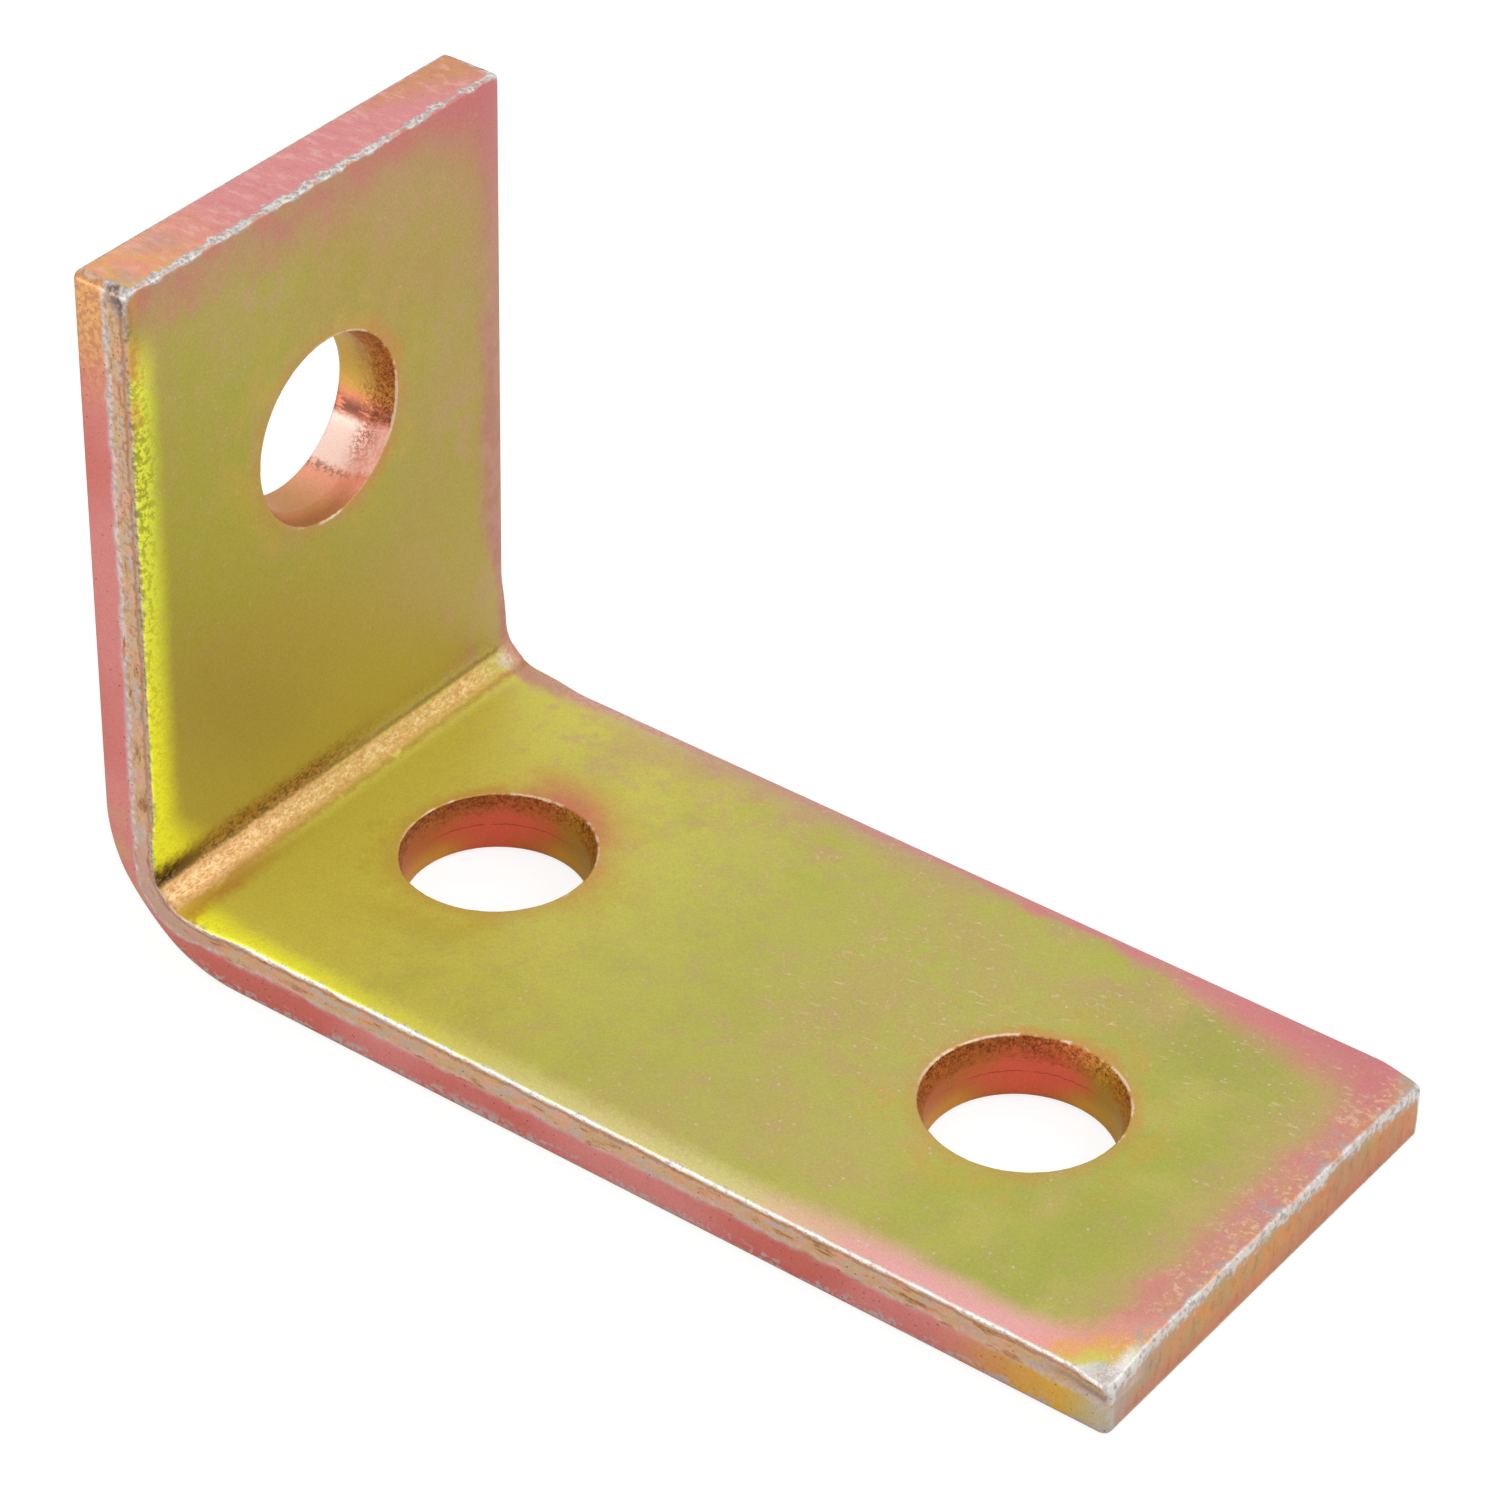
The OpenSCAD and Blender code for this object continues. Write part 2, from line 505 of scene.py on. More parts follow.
# folds the flat bar: X along it, Y across it, Z its depth, into the bracket
def foldTree(material):
    tree = bpy.data.node_groups.new("foldBar", "GeometryNodeTree")
    tree.interface.new_socket("Geometry", in_out="INPUT", socket_type="NodeSocketGeometry")
    tree.interface.new_socket("Geometry", in_out="OUTPUT", socket_type="NodeSocketGeometry")
    names = ["Thickness", "Half width", "Heel", "Bend start", "Bend length", "Inside radius",
             "Outside radius", "Swell", "Swell reach", "Draw in", "Draw reach"]
    for name in names:
        tree.interface.new_socket(name, in_out="INPUT", socket_type="NodeSocketFloat")
    graph = Graph(tree)
    entry = tree.nodes.new("NodeGroupInput")
    size = {name: Wire(graph, entry.outputs[name]) for name in names}
    flat = graph.node("GeometryNodeInputPosition")
    along, across, depth = graph.parts(flat)
    place = graph.scaled(flat, 1000, 1000, 1000)
    veil = graph.noise(graph.scaled(place, 1.0, 1.4, 1.0), 0.085, 4.0, 0.62, 0.6)
    clouds = graph.vector(graph.noise(place, 0.055, 2.0), graph.noise(place, 0.13, 3.0, 0.6), veil)
    stored = Wire(graph, entry.outputs["Geometry"])
    settings = {"data_type": "FLOAT_VECTOR", "domain": "POINT"}
    for name, value in (("flat", place), ("clouds", clouds)):
        values = {"Geometry": stored, "Name": name, "Value": value}
        stored = graph.node("GeometryNodeStoreNamedAttribute", settings, values)
    outRadius, inRadius, thick = size["Outside radius"], size["Inside radius"], size["Thickness"]
    upright = (size["Bend start"] - along).atLeast(0)
    level = (along - size["Bend start"] - size["Bend length"]).atLeast(0)
    turned = ((along - size["Bend start"]) / size["Bend length"]).atLeast(0).atMost(1)
    # outer face: a quarter round from the short leg to the long leg
    outerAngle = turned * (math.pi / 2)
    outerX = outRadius * (1 - outerAngle.cosine()) + level
    outerZ = outRadius * (1 - outerAngle.sine()) + upright
    # inner face: straight, a quarter round of the inside radius, straight
    innerCentre = thick + inRadius
    straight = outRadius - innerCentre
    quarter = inRadius * (math.pi / 2)
    travelled = turned * (2 * straight + quarter)
    innerAngle = ((travelled - straight) / inRadius).atLeast(0).atMost(math.pi / 2)
    before = (straight - travelled).atLeast(0)
    after = (travelled - straight - quarter).atLeast(0)
    innerX = innerCentre - inRadius * innerAngle.cosine() + after + level
    innerZ = innerCentre - inRadius * innerAngle.sine() + before + upright
    share = depth / thick
    x = outerX + (innerX - outerX) * share
    z = outerZ + (innerZ - outerZ) * share
    # sides: swollen beside the inside radius, drawn in at the outside
    fromInner = ((x - innerCentre) ** 2 + (z - innerCentre) ** 2).root()
    swell = size["Swell"] * fromInner.fall(inRadius, size["Swell reach"])
    fromHeel = (x ** 2 + z ** 2).root()
    draw = size["Draw in"] * fromHeel.fall(outRadius * 0.3, size["Draw reach"])
    edge = (abs(across) / size["Half width"]) ** 8
    y = across + across.sign() * (swell - draw) * edge
    folded = graph.vector(x + size["Heel"], y, z)
    moved = graph.node("GeometryNodeSetPosition", {}, {"Geometry": stored, "Position": folded})
    whole = graph.node("GeometryNodeRealizeInstances", {}, {"Geometry": moved})
    painted = graph.node("GeometryNodeSetMaterial", {}, {"Geometry": whole, "Material": material})
    leave = tree.nodes.new("NodeGroupOutput")
    tree.links.new(painted.socket, leave.inputs["Geometry"])
    return tree


def foldedBar(material):
    points, marks, faces = buildBlank()
    mesh = bpy.data.meshes.new("blank")
    mesh.from_pydata(points, [], faces)
    mesh.update()
    layer = mesh.attributes.new("marks", "FLOAT_VECTOR", "POINT")
    layer.data.foreach_set("vector", (np.array(marks) / mm).astype(np.float32).ravel())
    blank = bpy.data.objects.new("blank", mesh)
    bpy.context.scene.collection.objects.link(blank)
    tree = foldTree(material)
    modifier = blank.modifiers.new("fold", "NODES")
    modifier.node_group = tree
    sizes = {"Thickness": bar["thickness"], "Half width": halfWidth, "Heel": low.x,
             "Bend start": bendStart, "Bend length": bend["length"],
             "Inside radius": bend["inRadius"], "Outside radius": bend["outRadius"],
             "Swell": bend["swell"], "Swell reach": bend["swellReach"],
             "Draw in": bend["drawIn"], "Draw reach": bend["drawReach"]}
    for item in tree.interface.items_tree:
        if item.in_out == "INPUT" and item.name in sizes:
            modifier[item.identifier] = sizes[item.name]
    bpy.context.view_layer.update()
    shaped = blank.evaluated_get(bpy.context.evaluated_depsgraph_get())
    folded = bpy.data.meshes.new_from_object(shaped)
    folded.name = "bracket"
    bpy.data.objects.remove(blank)
    folded.polygons.foreach_set("use_smooth", [True] * len(folded.polygons))
    piece = bpy.data.objects.new("bracket", folded)
    bpy.context.scene.collection.objects.link(piece)
    return piece


# a colour as seen on a screen, 0 to 255, turned into the linear values that sockets take
def tint(red, green, blue):
    values = [value / 255 for value in (red, green, blue)]
    return tuple(v / 12.92 if v <= 0.04045 else ((v + 0.055) / 1.055) ** 2.4 for v in values)


# colours as red, green and blue up to 255
zinc = {
    # finish
    "metallic": 0.6,
    "roughness": 0.46,
    "bump": 0.35,
    # faces
    "upright": (182, 162, 74),
    "fresh": (178, 170, 66),
    "bendShade": (192, 174, 80),
    "besideBend": (214, 204, 88),
    "outer": (186, 183, 84),
    "haze": (196, 158, 118),
    "lime": (176, 186, 66),
    "greenPatch": (152, 164, 62),
    "speck": (222, 196, 186),
    # pink and tan towards the far side and the free ends, and glare, a painted highlight along the near
    # edge
    "pink": (202, 124, 118),
    "rose": (218, 130, 134),
    "dusk": (190, 124, 116),
    "palePink": (206, 148, 136),
    "tan": (198, 160, 118),
    "farHaze": (206, 146, 148),
    "nearPink": (240, 170, 176),
    "glare": (232, 220, 154),
    "headTan": (194, 142, 116),
    "headCornerHaze": (190, 140, 104),
    "headCornerPink": (204, 116, 122),
    "headEdgePink": (210, 112, 116),
    "tailCornerPink": (208, 118, 126),
    # light on the rolled edge
    "glow": (252, 252, 62),
    "greenGlow": (244, 250, 84),
    "glowShade": (150, 136, 44),
    "glowMottle": (140, 148, 34),
    "orange": (220, 156, 82),
    # corners, rubbed spots and scratches
    "cornerPink": (236, 160, 152),
    "cornerGold": (230, 172, 86),
    "cornerLime": (206, 204, 96),
    "rubbed": (224, 190, 182),
    "scrapedTan": (206, 158, 110),
    "scrapedGrey": (190, 172, 162),
    "scuffTan": (216, 160, 104),
    "scratch": (222, 184, 130),
    "stroke": (220, 204, 158),
    "frost": (236, 196, 180),
    # round the holes
    "holeGold": (206, 170, 62),
    "holeHalo": (206, 146, 78),
    "holeBlush": (208, 126, 92),
    # strip in the bend and the lines beside it, with painted glints and painted shade
    "strip": (230, 184, 124),
    "stripDark": (196, 146, 86),
    "stripNear": (204, 170, 94),
    "stripGlint": (252, 218, 176),
    "stripBorderShade": (186, 132, 66),
    "chafed": (222, 204, 196),
    "creaseDark": (106, 70, 22),
    "creaseLight": (188, 132, 56),
    "creaseLine": (128, 84, 30),
    "creaseBlack": (58, 34, 10),
    "bendBrown": (192, 134, 58),
    "bendLine": (172, 112, 50),
    # sheared sides
    "silver": (226, 222, 216),
    "grey": (176, 166, 164),
    "red": (192, 102, 90),
    "brown": (150, 98, 62),
    "gold": (206, 160, 66),
    "tornPeach": (216, 150, 124),
    "tornMauve": (190, 146, 138),
    "tornDark": (140, 108, 94),
    "sideOlive": (188, 152, 96),
    "sideBrown": (190, 132, 88),
    "sideOrange": (218, 162, 102),
    "sideGreen": (176, 170, 100),
    "sideTip": (190, 170, 162),
    "sideLine": (212, 200, 198),
    "pit": (92, 52, 40),
    "cornerShade": (106, 100, 96),
    "soot": (84, 66, 56),
    # free ends
    "headSalmon": (236, 160, 128),
    "headGold": (228, 178, 96),
    "headGrey": (186, 166, 150),
    "headPink": (224, 146, 144),
    "headBackEdge": (210, 150, 92),
    "headStreak": (240, 192, 184),
    "headStreakDark": (206, 124, 120),
    "tailOrange": (220, 150, 84),
    "tailOlive": (186, 162, 104),
    "tailRed": (198, 120, 98),
    "tailGrey": (176, 160, 152),
    "tailBackEdge": (210, 134, 106),
    "tailStreak": (206, 164, 120),
    "tailCornerGrey": (190, 172, 164),
    # hole walls, with a painted highlight, painted reflections and painted glints
    "wallRed": (234, 108, 80),
    "wallGold": (184, 122, 38),
    "wallOlive": (184, 158, 66),
    "peachHighlight": (255, 220, 206),
    "wallOrange": (204, 120, 56),
    "wallBrass": (184, 146, 42),
    "wallBright": (226, 174, 66),
    "wallLime": (186, 164, 52),
    "wallRing": (120, 60, 40),
    "wallStraw": (204, 160, 72),
    "wallCopper": (196, 116, 84),
    "wallSalmon": (246, 168, 140),
    "wallApricot": (232, 168, 124),
    "wallDarkReflection": (84, 40, 30),
    "wallCoral": (244, 146, 118),
    "crazing": (140, 66, 48),
    "wallHoney": (200, 144, 84),
    "wallUmber": (160, 96, 48),
    "mouthDark": (112, 58, 20),
    "mouthGlint": (228, 160, 76),
    "mouthRed": (160, 62, 34),
    # worn edges; darker greys for the upright's edges are painted shade, and a white glint at the tail
    # corner is a painted highlight
    "dullEdgeShaded": (120, 98, 86),
    "brightEdgeShaded": (186, 170, 162),
    "facetGlint": (242, 238, 232),
    "lip": (238, 214, 188)
}


# where a point lies on the flat bar, in mm, with the noise that several parts of the paint share
def readSpot(graph):
    spot = SimpleNamespace()
    spot.place = graph.node("ShaderNodeAttribute", {"attribute_name": "flat"}, {}, 1)
    marks = graph.node("ShaderNodeAttribute", {"attribute_name": "marks"}, {}, 1)
    clouds = graph.node("ShaderNodeAttribute", {"attribute_name": "clouds"}, {}, 1)
    spot.along, spot.across, spot.depth = graph.parts(spot.place)
    spot.side, spot.end, spot.bore = graph.parts(marks)  # how far past the inner edge of each
    spot.broad, spot.cloud, spot.veil = graph.parts(clouds)
    spot.patchy = graph.noise(spot.place, 0.5, 2.0, 0.6)
    spot.fine = graph.noise(spot.place, 2.2, 2.0, 0.6)
    spot.grain = graph.noise(spot.place, 7.0, 1.0, 0.6)
    spot.grit = graph.noise(graph.scaled(spot.place, 1.0, 0.6, 1.0), 3.3, 2.0, 0.7)
    spot.lengthwise = graph.noise(graph.scaled(spot.place, 0.25, 1.0, 1.0), 1.6, 3.0, 0.65)
    spot.pits = graph.cells(spot.place, 1.9).fall(0.1, 0.2) * spot.fine.rise(0.45, 0.6)
    spot.wobble = (spot.cloud - 0.5) * 3.0 + (spot.patchy - 0.5) * 1.6
    spot.tremble = (spot.fine - 0.5) * 1.2 + (spot.patchy - 0.5) * 0.8
    spot.far = halfWidth / mm - spot.across
    spot.near = halfWidth / mm + spot.across
    spot.toTail = barLength / mm - spot.along
    spot.headward = spot.along.fall(60, 61)
    spot.facing = spot.depth.rise(2.4, 2.8)  # 1 on the inner face
    spot.calm = spot.along.near(52, 34)
    middle = holeAt[0] / mm + spot.along.rise(44, 45) * ((holeAt[1] - holeAt[0]) / mm)
    middle = middle + spot.along.rise(92, 93) * (holes["pitch"] / mm)
    spot.forward = (spot.along - middle) / 7  # across a hole, -1 to 1
    return spot


# inner and outer faces: olive and green, darker beside the bend
def paintFaces(graph, along, end, broad, cloud, veil, patchy, fine, wobble, far, facing, calm,
               **others):
    green = (broad + cloud * 0.5).rise(0.66, 0.92) * along.fall(24, 44)
    face = graph.mix(green, "upright", "fresh")
    base = graph.mix((along + wobble * 3).rise(62, 96), "besideBend", "outer")
    face = graph.mix(along.rise(50, 53), face, base)
    shade = (along + wobble * 0.4).rise(26, 50) * along.fall(50.5, 51.5, 0.7)
    face = graph.mix(shade * facing, face, "bendShade")
    face = graph.mix(cloud.rise(0.5, 0.75) * along.rise(60, 75, 0.35), face, "fresh")

    # veils of tan and pink, thicker towards the far side and the free ends
    edgeward = (far + wobble).fall(2, 16).atLeast(end.fall(3, 14, 0.9)).atLeast(along.near(105, 28, 0.6))
    face = graph.mix(veil.rise(0.42, 0.66) * edgeward * 0.62, face, "haze")
    face = graph.mix(patchy.rise(0.5, 0.68) * edgeward * cloud.rise(0.4, 0.6, 0.45), face, "palePink")
    mottle = (patchy * 0.55 + fine * 0.45).rise(0.44, 0.62) * (1 - calm) * 0.22
    face = graph.mix(mottle, face, "haze")
    face = graph.mix((fine * 0.5 + cloud * 0.5).rise(0.5, 0.62) * (1 - calm) * 0.15, face, "lime")
    patch = (along + wobble * 2).near(125, 14) * cloud.rise(0.36, 0.56, 0.45)
    face = graph.mix(patch, face, "greenPatch")
    return face


# pink along the free ends and the far side, and a painted highlight along the near edge
def paintRims(graph, face, along, across, veil, patchy, wobble, tremble, far, near, toTail, headward,
              **others):
    reach = along.rise(110, 130, 3.8) + along.fall(36, 46, 1.2) + 1.3
    face = graph.mix((far + wobble * 0.6).fall(1.0, 3.8) * along.near(84, 28, 0.4), face, "farHaze")
    wisp = wobble * 0.5 + (veil - 0.5) * 7
    rim = ((far + wisp * 0.8) / reach).fall(0.4, 1.4) * (0.84 + along.rise(60, 118, 0.1))
    rosy = graph.mix(along.near(78, 34), graph.mix(headward, "rose", "dusk"), "palePink")
    face = graph.mix(rim, face, graph.mix(patchy.rise(0.4, 0.6, 0.5), rosy, "palePink"))
    tail = (toTail + wisp).fall(2.0, 4.5)
    face = graph.mix((toTail + wisp * 1.4).fall(3.5, 8, 0.36), face, "tan")
    face = graph.mix(tail * 0.8, face, graph.mix(patchy.rise(0.44, 0.64, 0.4), "rose", "tan"))
    head = (along + wisp * 1.5).fall(1.0, 6.5)
    face = graph.mix(head * 0.76, face, graph.mix(patchy.rise(0.4, 0.6), "headTan", "pink"))
    face = graph.mix((far + toTail * 0.7 + wobble).fall(4, 11, 0.6), face, "tailCornerPink")
    face = graph.mix((far + along * 0.7 + wobble).fall(9, 26, 0.45), face, "headCornerHaze")
    face = graph.mix((far + along * 0.8 + wobble).fall(4, 13, 0.6), face, "headCornerPink")
    edge = (along + wisp * 0.5).fall(1.0, 3.4) * across.rise(0, 8, 0.5)
    face = graph.mix(edge, face, "headEdgePink")
    # painted highlight: pale light thrown off the rolled edge along the near side of the base
    glare = (near + tremble).fall(0.2, 2.6) * (along + wobble * 3).rise(70, 90) * along.fall(108, 120)
    face = graph.mix(glare * 0.6, face, "glare")
    lower = (near + wobble * 0.5).fall(0.6, 3.2) * (along + wobble * 3).rise(104, 119)
    face = graph.mix(lower * 0.85, face, "nearPink")
    return face


# yellow light caught by the rolled edge of the near side
def paintGlow(graph, face, along, patchy, fine, wobble, tremble, near, facing, **others):
    spread = along.near(50.5, 6.5, 2.4) + along.near(57, 6, 0.5) + 1.75 - along.rise(53, 57, 0.5)
    lit = along.rise(2.5, 8) * along.fall(54, 90) * (1 - along.near(51.8, 2.2))
    band = ((near + tremble * 0.9) / spread).fall(0.3, 1.65) * lit * facing
    light = graph.mix((along + wobble * 3).rise(20, 40), "greenGlow", "glow")
    face = graph.mix(band * (0.75 + fine.rise(0.35, 0.55, 0.25)), face, light)
    frayed = (near + tremble).fall(0.3, 1.4) * facing * along.fall(22, 44)
    face = graph.mix(frayed * fine.fall(0.4, 0.58, 0.35), face, "glowShade")
    face = graph.mix(band * along.near(15, 10) * fine.fall(0.42, 0.56, 0.5), face, "glowMottle")
    face = graph.mix(frayed * patchy.rise(0.42, 0.58) * along.fall(7, 17, 0.8), face, "orange")
    return face


# pressed corner at the near end: a small rainbow
def paintCorners(graph, face, along, patchy, fine, wobble, tremble, far, near, toTail, **others):
    tip = near + toTail + tremble * 1.2 + (patchy - 0.5) * 3.0
    face = graph.mix(tip.fall(6.2, 9.5, 0.6), face, "cornerPink")
    face = graph.mix(tip.fall(4.6, 7.0, 0.85), face, "cornerGold")
    face = graph.mix(tip.fall(3.4, 5.2, 0.85), face, "cornerLime")
    bare = graph.mix(fine.rise(0.34, 0.48), "tan", "silver")
    face = graph.mix(tip.fall(1.8, 3.6), face, bare)
    rubbed = (far + tremble * 2).fall(0.4, 2.8) * along.near(66, 13) * fine.rise(0.44, 0.58)
    face = graph.mix(rubbed * 0.6, face, "rubbed")
    scraped = (far * 0.45 + toTail * 1.3 + tremble * 0.9 + (patchy - 0.5) * 1.6).fall(1.8, 3.1)
    scrape = graph.mix(fine.rise(0.4, 0.58), "scrapedTan", "scrapedGrey")
    face = graph.mix(scraped * 0.85, face, scrape)
    scuff = (toTail + tremble * 2 + wobble * 0.5).fall(0.6, 2.6) * fine.rise(0.42, 0.56)
    face = graph.mix(scuff * 0.8, face, graph.mix(patchy.rise(0.4, 0.6), "grey", "scuffTan"))
    return face


# halo of the holes
def paintHalos(graph, face, along, across, bore, cloud, patchy, wobble, **others):
    golden = (bore + wobble * 1.6).near(2.5, 3.5) * (cloud * 0.6 + patchy * 0.4).rise(0.46, 0.6)
    face = graph.mix(golden * 0.42, face, "holeGold")
    inner = along.near(69, 12)
    behindHole = (across / 7).rise(-0.3, 1.0)
    halo = (bore + (patchy - 0.5) * 3.2).fall(0.0, 1.5) * (0.4 + behindHole * 0.3)
    face = graph.mix(halo, face, "holeHalo")
    blush = (bore + wobble * 0.8).fall(0.2, 4.4) * inner * (across + (along - 69) * 0.7).rise(1.0, 8.0)
    blush = blush * (0.5 + cloud.rise(0.42, 0.58, 0.4))
    face = graph.mix(blush, face, "holeBlush")
    return face


# bend: bright rough strip with painted glints and painted shade at its borders, between a dark line and a
# brown one that are partly painted shade
def paintBend(graph, face, along, across, patchy, fine, grit, wobble, tremble, far, facing, **others):
    jag = (fine - 0.5) * 1.4 + (patchy - 0.5) * 1.1
    stripAt = bend["stripAt"] / mm
    ends = far.rise(0.8, 2.0)
    # dark rough band along the groove left of the strip: partly its own dark texture, partly painted shade,
    # darkest towards the near end
    dark = (along + jag * 1.1).rise(48.6, 50.6) * (along + jag * 0.6).fall(51.2, 51.9) * facing
    nearShade = 0.16 + 0.68 * (across + wobble * 0.8).fall(-4, 6)
    crease = graph.mix(grit.rise(0.38, 0.6), "creaseDark", "creaseLight")
    face = graph.mix(dark * nearShade * ends, face, crease)
    face = graph.mix((along + jag * 0.4).near(51.4, 0.5) * facing * ends * 0.6, face, "creaseLine")
    black = (along + jag * 1.2).near(50.7, 1.9) * (across + jag).fall(-19.5, -13.5) * facing
    face = graph.mix(black * grit.rise(0.36, 0.5), face, "creaseBlack")
    # brown band right of the strip: partly its own colour, partly painted shade along the ridge's flank
    brown = (along + jag * 0.9).near(54.9, 1.9) * facing * across.fall(-17, -4, 0.8)
    face = graph.mix(brown, face, "bendBrown")
    thin = (along + jag * 0.5).near(54.0, 0.8) * facing * patchy.rise(0.3, 0.46, 0.65)
    face = graph.mix(thin, face, "bendLine")
    wide = across.fall(-18, 14, 0.4) - 0.15
    strip = (abs(along - stripAt) + jag * 0.55 - wide).fall(0.85, 1.3) * facing * ends
    crest = graph.mix(across.fall(-16, -2), "stripNear", "strip")
    stripTextureAndLight = graph.mix(grit.rise(0.3, 0.54), "stripDark", crest)
    # painted highlight: bright glints on the strip's grain, stronger towards the near side
    glints = (grit - (along - stripAt) * 0.05).rise(0.48, 0.66) * (0.4 + across.fall(-14, 0, 0.2))
    stripTextureAndLight = graph.mix(glints, stripTextureAndLight, "stripGlint")
    # painted shade: the strip darkens towards its borders so that it reads as a round ridge
    stripTextureAndLight = graph.mix((abs(along - stripAt) + jag * 0.3).rise(0.35, 1.15, 0.55), stripTextureAndLight, "stripBorderShade")
    stripTextureAndLight = graph.mix(far.fall(1.5, 5.5, 0.7), stripTextureAndLight, "outer")
    face = graph.mix(strip, face, stripTextureAndLight)
    chafed = (far - 1.6 + tremble * 0.5).near(0.0, 1.3) * (along - stripAt + jag).near(0.2, 1.8)
    face = graph.mix(chafed * fine.rise(0.42, 0.54, 0.8), face, "chafed")
    return face


# specks, curly scratches, short pale strokes and frost at the tail end
def paintScratches(graph, face, place, along, across, bore, veil, patchy, fine, wobble, toTail, calm,
                   **others):
    dots = (graph.cells(place, 1.35) + (fine - 0.5) * 0.4).fall(0.06, 0.2)
    dots = dots * veil.rise(0.4, 0.58) * patchy.rise(0.38, 0.6) * (1 - calm)
    dots = dots * (0.35 + along.rise(60, 90, 0.65))
    face = graph.mix(dots * 0.7, face, "speck")
    curl = graph.noise(place, 0.24, 1.0, 0.5, 1.6)
    scratch = abs(curl - 0.5).fall(0.002, 0.012) * patchy.rise(0.38, 0.5) * veil.rise(0.4, 0.52)
    scratch = scratch * (along.rise(72, 88) * along.fall(112, 126) * across.rise(-14, 0, 0.8) + 0.2)
    face = graph.mix(scratch * fine.rise(0.42, 0.54, 0.6), face, "scratch")
    slanted = graph.vector(along * 0.5 + across * 0.3, across * 1.7 - along * 0.5, bore * 0.1)
    stroke = graph.noise(slanted, 1.5, 1.0, 0.5)
    stroke = stroke.rise(0.66, 0.74) * along.rise(74, 92) * across.rise(-10, 4) * veil.rise(0.44, 0.56)
    face = graph.mix(stroke * fine.rise(0.36, 0.5, 0.5), face, "stroke")
    frost = (toTail + wobble).fall(0.5, 5) * fine.rise(0.54, 0.64) * patchy.rise(0.44, 0.58)
    face = graph.mix(frost * 0.6, face, "frost")
    return face


# sheared side: worn tan band, grey line, then a burnished pink one
def paintSide(graph, along, side, broad, patchy, fine, lengthwise, wobble, tremble, toTail, pits,
              **others):
    drop = -side + (patchy - 0.5) * 0.5
    border = 2.15 + 1.7 * along.near(52.6, 6)
    torn = graph.mix(lengthwise.rise(0.3, 0.46), "brown", "tan")
    torn = graph.mix(lengthwise.rise(0.5, 0.62, 0.8), torn, "grey")
    torn = graph.mix(patchy.rise(0.48, 0.64, 0.55), torn, "tornPeach")
    torn = graph.mix(along.near(51.5, 9) * (0.4 + patchy.rise(0.4, 0.6, 0.4)), torn, "tornMauve")
    smooth = graph.mix(broad.rise(0.4, 0.6), "red", "pink")
    smooth = graph.mix(along.near(50, 9) * patchy.rise(0.44, 0.62, 0.6), smooth, "sideOlive")
    torn = graph.mix(fine.fall(0.36, 0.5) * along.fall(26, 50, 0.45), torn, "tornDark")
    headSide = graph.mix(fine.rise(0.36, 0.64), "sideBrown", "sideOrange")
    smooth = graph.mix((along + wobble * 2).fall(3, 14), smooth, headSide)
    smooth = graph.mix((toTail + wobble * 2).fall(4, 16), smooth, "gold")
    smooth = graph.mix((toTail + wobble).fall(1, 4), smooth, "sideGreen")
    bareTip = (toTail + tremble * 1.5).fall(0.4, 3.4) * (0.3 + fine.rise(0.4, 0.56, 0.4))
    smooth = graph.mix(bareTip, smooth, "sideTip")
    flank = graph.mix((drop - border + tremble * 0.25).rise(-0.25, 0.1), torn, smooth)
    line = (drop - border + tremble * 0.4).near(-0.1, 0.5) * (0.95 - along.rise(56, 66, 0.5))
    seam = graph.mix(fine.rise(0.4, 0.6), "grey", "sideLine")
    flank = graph.mix(line * lengthwise.rise(0.3, 0.5, 0.75), flank, seam)
    flank = graph.mix((drop - 0.5 + tremble * 0.4).near(0.0, 0.3, 0.6), flank, "brown")
    nick = (lengthwise * 0.5 + fine * 0.5 + drop * 0.05).rise(0.72, 0.78)
    nick = (nick + along.near(84, 6) * fine.rise(0.4, 0.5)).atMost(1)
    flank = graph.mix(nick * drop.rise(3.5, 4.4) * along.rise(50, 60, 0.8), flank, "grey")
    flank = graph.mix(pits * 0.75, flank, "pit")
    shade = (toTail + tremble * 1.5).fall(2.0, 6.5) * (drop + tremble * 0.3).near(1.1, 0.6)
    flank = graph.mix(shade * 0.6, flank, "cornerShade")
    soot = (along + drop + tremble * 1.5).fall(1.5, 4.0) * fine.rise(0.4, 0.5) * drop.fall(1.6, 2.2)
    flank = graph.mix(soot * 0.75, flank, "soot")
    return flank


